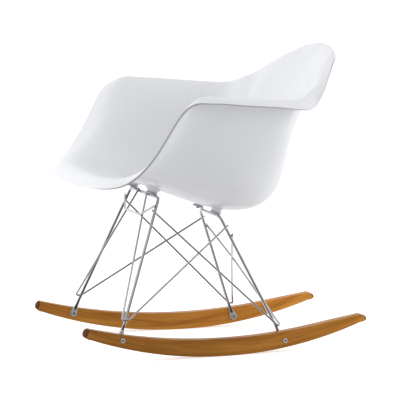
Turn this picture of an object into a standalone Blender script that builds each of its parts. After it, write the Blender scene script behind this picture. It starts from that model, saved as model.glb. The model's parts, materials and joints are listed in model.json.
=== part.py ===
"""Moulded armchair on rockers.

A thin one-piece plastic seat shell stands on a cross-braced base of steel
wire, and the base is bolted to the inner faces of two bent wooden rockers.

Frame: metres, +Z up, floor at z = 0. The sitter faces -Y and the sitter's
left is +X. The origin lies on the floor under the middle of the chair's
bounding box.
"""

import math

import bmesh
import bpy
import numpy as np
from mathutils import Matrix, Vector

# ---------------------------------------------------------------- dimensions
FIT_GAP = 0.0003            # between pieces that touch

# rockers: boards cut from two arcs, set closer together at the rear
ROCKER_THICKNESS = 0.022
ROCKER_SPACING = 0.1834     # centre plane to board centre, at the contact line
ROCKER_TOE_IN = math.radians(2.98)
ROCKER_CONTACT_Y = 0.002    # where the board meets the floor
ROCKER_FRONT = 0.3411       # contact line to the front tip, along the board
ROCKER_REAR = 0.3411        # contact line to the rear tip, along the board
ROCKER_BOTTOM_RADIUS = 0.970
ROCKER_TOP_RADIUS = 1.330
ROCKER_DEPTH = 0.0395       # board height at its middle
ROCKER_TAPER_START = 0.205  # the top edge falls below its arc from here to the rear
ROCKER_TAPER = 0.42         # fall per square metre of length
ROCKER_FLAT = 0.015         # half length of the worn flat on the floor
ROCKER_EDGE = 0.002         # rounding of the board's long edges

# wire base
LEG_ROD = 0.0070            # rod of the two leg frames, diameter
BRACE_ROD = 0.0046          # wire of the braces and the tie, diameter
FRONT_BAR = Vector((0.1042, -0.1336, 0.353))
REAR_BAR = Vector((0.071, 0.0239, 0.300))
FRONT_BEND = 0.012          # bend radius of the rod's centre line
REAR_BEND = 0.018
FRONT_BOLT = (-0.2535, 0.0510)   # along the board, height
REAR_BOLT = (0.1387, 0.0255)
FRONT_HOOK_HEIGHT = 0.0930  # where the front brace turns round its leg
FRONT_HOOK = ((0.0068, -0.0110), (0.0078, 0.0045))  # its corners, outward and to the rear
REAR_HOOK_HEIGHT = 0.0580
REAR_HOOK = ((0.0066, 0.0028), (0.0005, 0.0106))
HOOK_BEND = 0.0045
SIDE_DIAGONAL_HEIGHT = 0.2755    # its upper end, on the rear leg
REAR_BRACE_START_HEIGHT = 0.324  # on the front leg
CROSS_BRACE_HEIGHT = 0.2555      # its upper end, on the opposite rear leg
BRACE_NUB = 0.002           # how far a wire runs past the leg it is welded to
TIE_HEIGHT = 0.333          # where the tie meets the front legs
TIE_KNEE = Vector((0.058, -0.1635, 0.311))
TIE_BEND = 0.006
BAR_START = 0.0325           # front brace's upper end, from the middle
CROSS_BOW = 0.0047          # how far the crossing braces bow to the rear
CROSS_APART = 0.0052        # between their centre lines where they cross

# leg ends, flattened into eyes
EYE_RADIUS = 0.0080
EYE_THICKNESS = 0.0035
EYE_HOLE = 0.0058
EYE_NECK = 0.014            # eye centre to where the flat is as narrow as the rod
LEG_BEND = 0.034            # eye centre to where the rod leaves the rocker's face

# rocker fasteners
BOLT_SHANK = 0.0050
BOLT_HEAD = 0.0100
BOLT_HEAD_HEIGHT = 0.0030
BOLT_REACH = 0.0120         # shank inside the rocker
ROCKER_HOLE = 0.0082
SLEEVE_BARREL = 0.0074
SLEEVE_LENGTH = 0.0160
SLEEVE_BORE = 0.0056
SLEEVE_FLANGE = 0.0110
SLEEVE_FLANGE_HEIGHT = 0.0012
WASHER_DIAMETER = 0.0120
WASHER_THICKNESS = 0.0010
HEX_KEY = 0.0040            # across corners of the key recess

# shell mounts, square to the plane of the two cross bars
MOUNT_TILT = math.atan2(FRONT_BAR.z - REAR_BAR.z, REAR_BAR.y - FRONT_BAR.y)
# from the centre, ahead of the bar, radius of the boss where it runs into
# the shell, height of the boss
FRONT_MOUNT = (0.073, 0.0085, 0.0250, 0.0110)
REAR_MOUNT = (0.062, 0.0100, 0.0140, 0.0102)
PLATE_DIAMETER = 0.028
PLATE_THICKNESS = 0.0025
PLATE_HOLE = 0.0060
PAD_DIAMETER = 0.024
PAD_THICKNESS = 0.0020
SCREW_SHANK = 0.0050
SCREW_HEAD = 0.0088
SCREW_HEAD_HEIGHT = 0.0030
SCREW_REACH = 0.0080        # shank inside the boss
INSERT_DIAMETER = 0.0080
INSERT_LENGTH = 0.0085
INSERT_BORE = 0.0058
BOSS_FOOT = 0.0115          # radius of a boss where it meets its pad
BOSS_BORE = 0.0086
BOSS_BORE_DEPTH = 0.0095

# seat shell
SHELL_WALL = 0.0045
SHELL_LEVELS = 2
ROUND = 16                  # sides of a small turned piece

# Inner face of the shell, sitter's left half, as rows from the front edge to
# the top edge. Each row runs from the middle of the chair to the outer edge:
# middle, seat, side of the seat, foot of the wall, wall, crest, outer edge.
SHELL_ROWS = (
    # front edge, rising into the front of the arm
    ((0.000, -0.312, 0.382), (0.099, -0.307, 0.384), (0.196, -0.295, 0.391),
     (0.266, -0.254, 0.411), (0.293, -0.197, 0.477), (0.308, -0.149, 0.558),
     (0.314, -0.112, 0.584)),
    # lip, where the seat starts to roll down
    ((0.000, -0.290, 0.407), (0.100, -0.287, 0.408), (0.184, -0.272, 0.411),
     (0.240, -0.238, 0.423), (0.272, -0.177, 0.483), (0.290, -0.112, 0.584),
     (0.312, -0.084, 0.583)),
    # front of the seat
    ((0.000, -0.212, 0.399), (0.099, -0.207, 0.399), (0.181, -0.196, 0.406),
     (0.233, -0.164, 0.442), (0.267, -0.117, 0.528), (0.287, -0.068, 0.592),
     (0.310, -0.048, 0.581)),
    # middle of the seat
    ((0.000, -0.107, 0.364), (0.100, -0.103, 0.368), (0.178, -0.091, 0.388),
     (0.228, -0.065, 0.439), (0.257, -0.030, 0.534), (0.280, -0.001, 0.589),
     (0.306, 0.008, 0.575)),
    # rear of the seat
    ((0.000, -0.003, 0.326), (0.100, 0.003, 0.334), (0.172, 0.010, 0.363),
     (0.218, 0.030, 0.426), (0.244, 0.055, 0.535), (0.267, 0.085, 0.583),
     (0.290, 0.083, 0.568)),
    # bottom of the bucket
    ((0.000, 0.090, 0.313), (0.095, 0.092, 0.326), (0.157, 0.090, 0.362),
     (0.199, 0.105, 0.437), (0.223, 0.125, 0.531), (0.246, 0.152, 0.581),
     (0.269, 0.150, 0.559)),
    # foot of the back
    ((0.000, 0.165, 0.355), (0.084, 0.153, 0.366), (0.139, 0.141, 0.404),
     (0.174, 0.144, 0.468), (0.196, 0.157, 0.542), (0.222, 0.181, 0.593),
     (0.247, 0.190, 0.563)),
    # small of the back
    ((0.000, 0.188, 0.433), (0.075, 0.180, 0.444), (0.125, 0.169, 0.478),
     (0.154, 0.172, 0.522), (0.176, 0.186, 0.566), (0.199, 0.206, 0.605),
     (0.228, 0.215, 0.596)),
    # middle of the back
    ((0.000, 0.205, 0.512), (0.067, 0.202, 0.522), (0.111, 0.197, 0.546),
     (0.138, 0.202, 0.581), (0.154, 0.214, 0.608), (0.169, 0.232, 0.628),
     (0.189, 0.243, 0.629)),
    # shoulder of the back
    ((0.000, 0.237, 0.601), (0.052, 0.236, 0.605), (0.086, 0.238, 0.618),
     (0.105, 0.245, 0.635), (0.119, 0.254, 0.648), (0.131, 0.264, 0.655),
     (0.145, 0.271, 0.656)),
    # top edge
    ((0.000, 0.303, 0.686), (0.033, 0.299, 0.685), (0.057, 0.298, 0.682),
     (0.076, 0.295, 0.678), (0.089, 0.292, 0.676), (0.102, 0.290, 0.672),
     (0.115, 0.288, 0.667)),
)


# ------------------------------------------------------------------- helpers
def clear_scene():
    for obj in list(bpy.data.objects):
        bpy.data.objects.remove(obj)


def new_collection(name):
    collection = bpy.data.collections.new(name)
    bpy.context.scene.collection.children.link(collection)
    return collection


def make_material(name, color, roughness, metallic=0.0):
    material = bpy.data.materials.new(name)
    material.use_nodes = True
    shader = material.node_tree.nodes["Principled BSDF"]
    shader.inputs["Base Color"].default_value = (*color, 1.0)
    shader.inputs["Roughness"].default_value = roughness
    shader.inputs["Metallic"].default_value = metallic
    material.diffuse_color = (*color, 1.0)
    return material


def add_object(name, data, collection, material=None, matrix=None):
    obj = bpy.data.objects.new(name, data)
    collection.objects.link(obj)
    if material is not None:
        data.materials.append(material)
    if matrix is not None:
        obj.matrix_world = matrix
    return obj


def add_cutter(name, data, matrix=None):
    cutter = add_object(name, data, CUTTERS, matrix=matrix)
    cutter.hide_render = True
    cutter.display_type = "WIRE"
    return cutter


def boolean(obj, operand, operation):
    modifier = obj.modifiers.new(operand.name, "BOOLEAN")
    modifier.object = operand
    modifier.operation = operation
    modifier.solver = "EXACT"
    return modifier


def mesh_from_curve(curve):
    """Closed mesh of a curve's tube or plate, its caps welded on."""
    holder = bpy.data.objects.new(curve.name, curve)
    bpy.context.scene.collection.objects.link(holder)
    bpy.context.view_layer.update()
    graph = bpy.context.evaluated_depsgraph_get()
    mesh = bpy.data.meshes.new_from_object(holder.evaluated_get(graph))
    bm = bmesh.new()
    bm.from_mesh(mesh)
    bmesh.ops.remove_doubles(bm, verts=bm.verts, dist=1e-6)
    bmesh.ops.recalc_face_normals(bm, faces=bm.faces)
    bm.to_mesh(mesh)
    bm.free()
    bpy.data.objects.remove(holder)
    return mesh


def add_turned(name, profile, collection, material=None, matrix=None, sides=ROUND):
    """Solid of revolution about Z: a profile of (radius, height) at +X.

    The profile runs down the outer side. It starts and ends on the axis, or
    it is a closed loop when its first radius is off the axis.
    """
    mesh = bpy.data.meshes.new(name)
    edges = [(i, i + 1) for i in range(len(profile) - 1)]
    if profile[0][0] > 0:
        edges.append((len(profile) - 1, 0))
    mesh.from_pydata([(radius, 0.0, height) for radius, height in profile], edges, [])
    obj = add_object(name, mesh, collection, material, matrix)
    screw = obj.modifiers.new("turn", "SCREW")
    screw.axis = "Z"
    screw.steps = sides
    screw.render_steps = sides
    screw.use_merge_vertices = True
    screw.merge_threshold = 1e-5
    screw.use_smooth_shade = True
    return obj


def add_turned_cutter(name, profile, matrix=None, sides=ROUND):
    cutter = add_turned(name, profile, CUTTERS, matrix=matrix, sides=sides)
    cutter.hide_render = True
    cutter.display_type = "WIRE"
    return cutter


def cylinder_profile(radius, low, high):
    return [(0.0, high), (radius, high), (radius, low), (0.0, low)]


def tube_profile(outer, inner, low, high):
    return [(outer, high), (outer, low), (inner, low), (inner, high)]


def frame_at(point, axis, forward=Vector((0.0, 0.0, 1.0))):
    """Matrix that puts local Z along axis and local Y as near forward as it can."""
    z = axis.normalized()
    x = forward.cross(z).normalized()
    y = z.cross(x)
    matrix = Matrix((x, y, z)).transposed().to_4x4()
    matrix.translation = point
    return matrix


def rounded_path(corners, radius, steps=4):
    """Polyline through corners, each inner corner turned on an arc."""
    path = [corners[0]]
    for before, corner, after in zip(corners, corners[1:], corners[2:]):
        toward = (before - corner).normalized()
        onward = (after - corner).normalized()
        turn = math.pi - toward.angle(onward)
        if turn < math.radians(4):
            path.append(corner)
            continue
        reach = radius * math.tan(turn / 2)
        centre = corner + (toward + onward).normalized() * (radius / math.cos(turn / 2))
        start = corner + toward * reach - centre
        axis = start.cross(corner + onward * reach - centre)
        for step in range(steps + 1):
            path.append(centre + Matrix.Rotation(turn * step / steps, 3, axis) @ start)
    path.append(corners[-1])
    return path


def rod_curve(name, path, diameter, resolution=2):
    curve = bpy.data.curves.new(name, "CURVE")
    curve.dimensions = "3D"
    curve.bevel_depth = diameter / 2
    curve.bevel_resolution = resolution
    curve.use_fill_caps = True
    spline = curve.splines.new("POLY")
    spline.points.add(len(path) - 1)
    for point, place in zip(spline.points, path):
        point.co = (*place, 1.0)
    return curve


def plate_curve(name, outlines, thickness):
    """Flat plate in local XY from an outline, with any further ones as holes."""
    curve = bpy.data.curves.new(name, "CURVE")
    curve.dimensions = "2D"
    curve.fill_mode = "BOTH"
    curve.extrude = thickness / 2
    for outline in outlines:
        spline = curve.splines.new("POLY")
        spline.points.add(len(outline) - 1)
        for point, (x, y) in zip(spline.points, outline):
            point.co = (x, y, 0.0, 1.0)
        spline.use_cyclic_u = True
    return curve


def circle_outline(radius, centre=(0.0, 0.0), steps=ROUND):
    angles = [2 * math.pi * step / steps for step in range(steps)]
    return [(centre[0] + radius * math.cos(a), centre[1] + radius * math.sin(a)) for a in angles]


def arc_height(radius, along):
    """Height of an upward-curving arc above its lowest point."""
    return radius - math.sqrt(radius ** 2 - along ** 2)


# ------------------------------------------------------------ places and axes
def rocker_frame(side):
    """Local X along the board to the rear, local Y up, local Z outward."""
    outward = Vector((side * math.cos(ROCKER_TOE_IN), math.sin(ROCKER_TOE_IN), 0.0))
    along = Vector((-side * math.sin(ROCKER_TOE_IN), math.cos(ROCKER_TOE_IN), 0.0))
    up = Vector((0.0, 0.0, 1.0))
    matrix = Matrix((along, up, outward)).transposed().to_4x4()
    matrix.translation = Vector((side * ROCKER_SPACING, ROCKER_CONTACT_Y, 0.0))
    return matrix


def on_rocker(side, bolt, out):
    """Point beside a rocker at a bolt, out from the board's middle plane."""
    return rocker_frame(side) @ Vector((bolt[0], bolt[1], out))


def mirrored(point, side):
    return Vector((side * point.x, point.y, point.z))


def rod_end(side, bolt):
    """Where the rod of a leg stands beside its rocker, at the bolt's height."""
    return on_rocker(side, bolt, -(ROCKER_THICKNESS / 2 + FIT_GAP + LEG_ROD / 2))


def neck_direction(side, bar, bolt):
    """Direction of the leg's end, up the face of the rocker."""
    frame = rocker_frame(side)
    slant = mirrored(bar, side) - rod_end(side, bolt)
    outward = frame.col[2].to_3d()
    return (slant - outward * slant.dot(outward)).normalized()


def leg_neck(side, bar, bolt):
    return rod_end(side, bolt) + neck_direction(side, bar, bolt) * LEG_BEND


def leg_axis(side, bar, bolt):
    """Neck of a leg and the unit direction up to its cross bar."""
    neck = leg_neck(side, bar, bolt)
    return neck, (mirrored(bar, side) - neck).normalized()


def on_leg(side, bar, bolt, height):
    neck, direction = leg_axis(side, bar, bolt)
    return neck + direction * ((height - neck.z) / direction.z), direction


def front_leg(side, height):
    return on_leg(side, FRONT_BAR, FRONT_BOLT, height)


def rear_leg(side, height):
    return on_leg(side, REAR_BAR, REAR_BOLT, height)


def mount_normal():
    return Vector((0.0, math.sin(MOUNT_TILT), math.cos(MOUNT_TILT)))


def mount_point(side, bar, mount, lift):
    """Point on a mount's screw axis, lift above the cross bar's centre line."""
    forward = Vector((0.0, -math.cos(MOUNT_TILT), math.sin(MOUNT_TILT)))
    base = Vector((side * mount[0], bar.y, bar.z))
    return base + forward * mount[1] + mount_normal() * lift


MOUNTS = (
    ("front_left", 1, FRONT_BAR, FRONT_MOUNT),
    ("front_right", -1, FRONT_BAR, FRONT_MOUNT),
    ("rear_left", 1, REAR_BAR, REAR_MOUNT),
    ("rear_right", -1, REAR_BAR, REAR_MOUNT),
)
PLATE_BASE = LEG_ROD / 2 + FIT_GAP
PAD_BASE = PLATE_BASE + PLATE_THICKNESS + FIT_GAP
BOSS_BASE = PAD_BASE + PAD_THICKNESS + FIT_GAP
FEET = (
    ("front_left", 1, FRONT_BAR, FRONT_BOLT),
    ("front_right", -1, FRONT_BAR, FRONT_BOLT),
    ("rear_left", 1, REAR_BAR, REAR_BOLT),
    ("rear_right", -1, REAR_BAR, REAR_BOLT),
)


# ---------------------------------------------------------------- seat shell
def limit_of(grid):
    """Points of a subdivided surface above the vertices of its cage.

    The first column lies on the mirror plane. The other three borders follow
    the curve of their own vertices.
    """
    def smoothed(array, axis):
        middle = (np.roll(array, 1, axis) + 4 * array + np.roll(array, -1, axis)) / 6
        return middle

    reflected = np.concatenate((grid[:, 1:2] * (-1, 1, 1), grid), axis=1)
    across = smoothed(reflected, 1)[:, 1:]
    across[:, -1] = grid[:, -1]
    both = smoothed(across, 0)
    both[0] = across[0]
    both[-1] = across[-1]
    for row, inner in ((0, 1), (-1, -2)):
        both[row, -1] = (grid[inner, -1] + 4 * grid[row, -1] + grid[row, -2]) / 6
    return both


def cage_through(points):
    """Cage whose subdivided surface passes through the given points."""
    cage = points.copy()
    for _ in range(60):
        cage += points - limit_of(cage)
    return cage


def shell_half(name):
    rows = np.array(SHELL_ROWS)
    cage = cage_through(rows)
    row_count, column_count = cage.shape[:2]
    bm = bmesh.new()
    bmesh.ops.create_grid(bm, x_segments=column_count - 1, y_segments=row_count - 1, size=1.0)
    bm.verts.ensure_lookup_table()
    for vert in bm.verts:
        column = round((vert.co.x + 1) / 2 * (column_count - 1))
        row = round((vert.co.y + 1) / 2 * (row_count - 1))
        vert.co = cage[row, column]
    bmesh.ops.recalc_face_normals(bm, faces=bm.faces)
    mesh = bpy.data.meshes.new(name)
    bm.to_mesh(mesh)
    bm.free()
    return mesh


def boss_profile(root, height):
    """Boss below the shell, widening toward its root."""
    steps = 4
    profile = [(0.0, height), (root, height)]
    for step in range(1, steps + 1):
        share = step / steps
        radius = BOSS_FOOT + (root - BOSS_FOOT) * (1 - share) ** 1.3
        profile.append((radius, height * (1 - share) ** 0.9))
    profile.append((0.0, 0.0))
    return profile


def build_shell(material):
    shell = add_object("seat_shell", shell_half("seat_shell"), CHAIR, material)
    mirror = shell.modifiers.new("left and right", "MIRROR")
    mirror.merge_threshold = 1e-5
    surface = shell.modifiers.new("smooth", "SUBSURF")
    surface.levels = SHELL_LEVELS
    surface.render_levels = SHELL_LEVELS
    wall = shell.modifiers.new("wall", "SOLIDIFY")
    wall.thickness = SHELL_WALL
    wall.offset = -1.0
    wall.use_even_offset = True
    for label, side, bar, mount in MOUNTS:
        frame = frame_at(mount_point(side, bar, mount, BOSS_BASE), mount_normal())
        boss = add_turned_cutter("boss_" + label, boss_profile(mount[2], mount[3]), frame)
        boolean(shell, boss, "UNION")
    for label, side, bar, mount in MOUNTS:
        frame = frame_at(mount_point(side, bar, mount, BOSS_BASE), mount_normal())
        bore = add_turned_cutter(
            "bore_" + label, cylinder_profile(BOSS_BORE / 2, -BOSS_BORE_DEPTH, BOSS_BORE_DEPTH), frame)
        boolean(shell, bore, "DIFFERENCE")
    shell.data.shade_smooth()
    return shell


# -------------------------------------------------------------- shell mounts
def build_mounts(brass, rubber, chrome, steel):
    up = mount_normal()
    for label, side, bar, mount in MOUNTS:
        def frame(lift):
            return frame_at(mount_point(side, bar, mount, lift), up)

        add_turned("boss_insert_" + label, tube_profile(
            INSERT_DIAMETER / 2, INSERT_BORE / 2, 0.0, INSERT_LENGTH), CHAIR, brass,
            frame(BOSS_BASE + FIT_GAP))
        add_turned("mount_pad_" + label, tube_profile(
            PAD_DIAMETER / 2, PLATE_HOLE / 2, 0.0, PAD_THICKNESS), CHAIR, rubber,
            frame(PAD_BASE))
        add_turned("mount_plate_" + label, tube_profile(
            PLATE_DIAMETER / 2, PLATE_HOLE / 2, 0.0, PLATE_THICKNESS), CHAIR, chrome,
            frame(PLATE_BASE))
        head_base = -FIT_GAP - SCREW_HEAD_HEIGHT
        tip = PLATE_THICKNESS + PAD_THICKNESS + 2 * FIT_GAP + SCREW_REACH
        add_turned("mount_screw_" + label, screw_profile(
            SCREW_HEAD / 2, head_base, SCREW_HEAD_HEIGHT, SCREW_SHANK / 2, tip, HEX_KEY / 2),
            CHAIR, steel, frame(PLATE_BASE))


def screw_profile(head, base, head_height, shank, tip, socket):
    """Button-head screw, shank up, with a recess in the underside of its head."""
    top = base + head_height
    chamfer = shank * 0.3
    return [
        (0.0, tip), (shank - chamfer, tip), (shank, tip - chamfer), (shank, top), (head, top),
        (head, base + head_height * 0.45), (head * 0.82, base + head_height * 0.1), (socket, base),
        (socket, base + head_height * 0.5), (0.0, base + head_height * 0.5),
    ]


# ----------------------------------------------------------------- wire base
def eye_mesh(name, side, bar, bolt):
    """Flattened eye at a leg's foot, a disc drawn out into the rod."""
    neck = neck_direction(side, bar, bolt)
    outward = rocker_frame(side).col[2].to_3d()
    outline = []
    lean = math.acos((EYE_RADIUS - LEG_ROD / 2) / EYE_NECK)
    sweep = 2 * (math.pi - lean)
    for step in range(ROUND + 1):
        angle = math.pi / 2 + lean + sweep * step / ROUND
        outline.append((EYE_RADIUS * math.cos(angle), EYE_RADIUS * math.sin(angle)))
    for across in (LEG_ROD / 2, -LEG_ROD / 2):
        outline.append((across * 0.9, EYE_NECK + LEG_ROD))
    hole = circle_outline(EYE_HOLE / 2, steps=16)
    mesh = mesh_from_curve(plate_curve(name, (outline, hole), EYE_THICKNESS))
    out = -(ROCKER_THICKNESS / 2 + FIT_GAP + EYE_THICKNESS / 2)
    mesh.transform(frame_at(on_rocker(side, bolt, out), outward, neck))
    return mesh


def build_leg_frame(name, bar, bolt, bend, material):
    """One rod bent into an inverted U, its two ends flattened into eyes."""
    corners = []
    for side in (-1, 1):
        start = rod_end(side, bolt) + neck_direction(side, bar, bolt) * EYE_RADIUS
        ends = [start, leg_neck(side, bar, bolt), mirrored(bar, side)]
        corners += ends if side < 0 else ends[::-1]
    path = rounded_path(corners, bend)
    frame = add_object(name, mesh_from_curve(rod_curve(name, path, LEG_ROD, 3)), CHAIR, material)
    for side in (-1, 1):
        operand = name + ("_eye_left" if side > 0 else "_eye_right")
        boolean(frame, add_cutter(operand, eye_mesh(operand, side, bar, bolt)), "UNION")
    frame.data.shade_smooth()


BRACE_OFFSET = (LEG_ROD + BRACE_ROD) / 2 + FIT_GAP


def across(first, second, toward):
    """Unit vector square to two directions, on the side of a third."""
    normal = first.cross(second).normalized()
    return normal if normal.dot(toward) > 0 else -normal


def hook(centre, side, corners):
    """Corners of the bend that carries a wire round the outside of a leg."""
    return [centre + Vector((side * out, back, 0.0)) for out, back in corners]


def past_leg(point, leg, origin, side_of):
    """End of a wire from origin that passes a leg on one side of it."""
    target = point
    for _ in range(4):
        run = (target - origin).normalized()
        target = point + across(run, leg, side_of) * BRACE_OFFSET
    return target + (target - origin).normalized() * (BRACE_NUB + LEG_ROD / 2)


def add_wire(name, path, material):
    add_object(name, mesh_from_curve(rod_curve(name, path, BRACE_ROD)), CHAIR, material)


def build_front_brace(name, side, material):
    """From the front bar, round the front leg, up to the rear leg's outside."""
    leg = front_leg(side, FRONT_HOOK_HEIGHT)[0]
    top = Vector((side * BAR_START, FRONT_BAR.y, FRONT_BAR.z))
    rear, rear_direction = rear_leg(side, SIDE_DIAGONAL_HEIGHT)
    out = Vector((side, 0.0, 0.0))
    first, last = hook(leg, side, FRONT_HOOK)
    start = past_leg(top, out, first, Vector((0.0, -1.0, 0.0)))
    end = past_leg(rear, rear_direction, last, out)
    add_wire(name, rounded_path([start, first, last, end], HOOK_BEND), material)


def build_rear_brace(name, side, material):
    """From the front leg, round the rear leg, across to the other rear leg."""
    leg = rear_leg(side, REAR_HOOK_HEIGHT)[0]
    front, front_direction = front_leg(side, REAR_BRACE_START_HEIGHT)
    far, far_direction = rear_leg(-side, CROSS_BRACE_HEIGHT)
    back = Vector((0.0, 1.0, 0.0))
    out = Vector((side, 0.0, 0.0))
    first, last = hook(leg, side, REAR_HOOK)
    start = past_leg(front, front_direction, first, back - out)
    middle = last.lerp(far, last.x / (last.x - far.x))
    middle += across(far - last, out, back) * (CROSS_BOW + side * CROSS_APART / 2)
    end = past_leg(far, far_direction, middle, back)
    add_wire(name, rounded_path([start, first, last, middle, end], HOOK_BEND), material)


def build_tie(name, material):
    """Shallow trapezium between the front legs, dipping forward and down."""
    ahead = Vector((0.0, -1.0, 0.0))
    corners = []
    for side in (-1, 1):
        leg, direction = front_leg(side, TIE_HEIGHT)
        knee = mirrored(TIE_KNEE, side)
        ends = [past_leg(leg, direction, knee, ahead), knee]
        corners += ends if side < 0 else ends[::-1]
    add_wire(name, rounded_path(corners, TIE_BEND), material)


# ------------------------------------------------------------------- rockers
def rocker_outline():
    """Side view of a board: along it and up, anticlockwise."""
    steps = 22
    front = -ROCKER_FRONT + 0.012
    rear = ROCKER_REAR - 0.014
    dip = arc_height(ROCKER_BOTTOM_RADIUS, ROCKER_FLAT)
    bottom = []
    for step in range(steps + 1):
        along = front + (rear - front) * step / steps
        if abs(along) < ROCKER_FLAT:
            continue
        bottom.append((along, arc_height(ROCKER_BOTTOM_RADIUS, along) - dip))
    bottom += [(-ROCKER_FLAT, 0.0), (ROCKER_FLAT, 0.0)]
    bottom.sort()
    top = []
    for step in range(steps + 1):
        along = rear + (front - rear) * step / steps
        taper = ROCKER_TAPER * max(0.0, along - ROCKER_TAPER_START) ** 2
        rise = arc_height(ROCKER_TOP_RADIUS, along) - taper
        top.append((along, ROCKER_DEPTH + rise))
    rear_tip = tip_arc(bottom[-1], top[0], ROCKER_REAR, 0.38)
    front_tip = tip_arc(top[-1], bottom[0], -ROCKER_FRONT, 0.45)
    return bottom + rear_tip + top + front_tip


def tip_arc(start, end, reach, level):
    """Rounded nose between two edge ends; level is the height share of its point."""
    low, high = sorted((start[1], end[1]))
    point = Vector((reach, low + (high - low) * level))
    nose = []
    first, last = Vector(start), Vector(end)
    for begin, finish, turn in ((first, point, 0), (point, last, 1)):
        for step in range(1, 5):
            if turn and step == 4:
                continue
            angle = math.pi / 2 * step / 4
            if turn:
                along = finish.x + (begin.x - finish.x) * math.cos(angle)
                height = begin.y + (finish.y - begin.y) * math.sin(angle)
            else:
                along = begin.x + (finish.x - begin.x) * math.sin(angle)
                height = finish.y + (begin.y - finish.y) * math.cos(angle)
            nose.append((along, height))
    return nose


def build_rocker(name, side, material):
    holes = [circle_outline(ROCKER_HOLE / 2, bolt, 16) for bolt in (FRONT_BOLT, REAR_BOLT)]
    curve = plate_curve(name, [rocker_outline()] + holes, ROCKER_THICKNESS)
    board = add_object(name, mesh_from_curve(curve), CHAIR, material, rocker_frame(side))
    edge = board.modifiers.new("eased edges", "BEVEL")
    edge.width = ROCKER_EDGE
    edge.segments = 2
    edge.limit_method = "ANGLE"
    edge.angle_limit = math.radians(60)
    board.data.shade_smooth()


def build_rocker_fasteners(chrome, steel):
    for label, side, _, bolt in FEET:
        inner = -(ROCKER_THICKNESS / 2 + FIT_GAP + EYE_THICKNESS + FIT_GAP)
        outward = rocker_frame(side).col[2].to_3d()
        washer = frame_at(on_rocker(side, bolt, inner - WASHER_THICKNESS), outward)
        add_turned("rocker_washer_" + label, tube_profile(
            WASHER_DIAMETER / 2, EYE_HOLE / 2, 0.0, WASHER_THICKNESS), CHAIR, steel, washer)
        head_base = -FIT_GAP - BOLT_HEAD_HEIGHT
        tip = WASHER_THICKNESS + EYE_THICKNESS + 2 * FIT_GAP + BOLT_REACH
        add_turned("rocker_bolt_" + label, screw_profile(
            BOLT_HEAD / 2, head_base, BOLT_HEAD_HEIGHT, BOLT_SHANK / 2, tip, HEX_KEY / 2),
            CHAIR, steel, washer)
        build_sleeve_nut("rocker_nut_" + label, side, bolt, chrome)


def build_sleeve_nut(name, side, bolt, material):
    """Barrel in the rocker's hole with a thin flange on the outer face."""
    outward = rocker_frame(side).col[2].to_3d()
    face = on_rocker(side, bolt, ROCKER_THICKNESS / 2 + FIT_GAP)
    top = SLEEVE_FLANGE_HEIGHT
    floor = top - 0.003
    profile = [
        (SLEEVE_FLANGE / 2 - 0.0008, top), (SLEEVE_FLANGE / 2, top - 0.0006), (SLEEVE_FLANGE / 2, 0.0),
        (SLEEVE_BARREL / 2, 0.0), (SLEEVE_BARREL / 2, -SLEEVE_LENGTH), (SLEEVE_BORE / 2, -SLEEVE_LENGTH),
        (SLEEVE_BORE / 2, floor - 0.002), (HEX_KEY / 2, floor - 0.002), (HEX_KEY / 2, top),
    ]
    add_turned(name, profile, CHAIR, material, frame_at(face, outward))


# --------------------------------------------------------------------- chair
def build_chair():
    plastic = make_material("white_plastic", (0.86, 0.86, 0.88), 0.28)
    wood = make_material("honey_wood", (0.46, 0.22, 0.07), 0.42)
    chrome = make_material("chrome_wire", (0.72, 0.72, 0.74), 0.12, 1.0)
    steel = make_material("zinc_steel", (0.60, 0.60, 0.62), 0.30, 1.0)
    rubber = make_material("grey_rubber", (0.30, 0.30, 0.31), 0.75)
    brass = make_material("brass", (0.70, 0.52, 0.22), 0.35, 1.0)

    build_shell(plastic)
    build_mounts(brass, rubber, chrome, steel)
    build_leg_frame("front_leg_frame", FRONT_BAR, FRONT_BOLT, FRONT_BEND, chrome)
    build_leg_frame("rear_leg_frame", REAR_BAR, REAR_BOLT, REAR_BEND, chrome)
    build_tie("front_tie_wire", chrome)
    for label, side in (("left", 1), ("right", -1)):
        build_front_brace("front_brace_" + label, side, chrome)
        build_rear_brace("rear_brace_" + label, side, chrome)
        build_rocker("rocker_" + label, side, wood)
    build_rocker_fasteners(chrome, steel)


clear_scene()
CHAIR = new_collection("rocking_armchair")
CUTTERS = new_collection("cutters")
build_chair()
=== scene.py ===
"""Looks of a moulded armchair on rockers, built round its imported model.

The white shell, the chromed wire base, the wooden rockers and every fastener
are made again here as fine meshes with procedural materials. Each one stands
for its CAD node. Metres, +Z up, floor at z = 0; the sitter faces -Y and the
sitter's left is +X.
"""

import json
import math
from collections import namedtuple

import bmesh
import bpy
import numpy as np
from mathutils import Matrix, Vector

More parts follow.
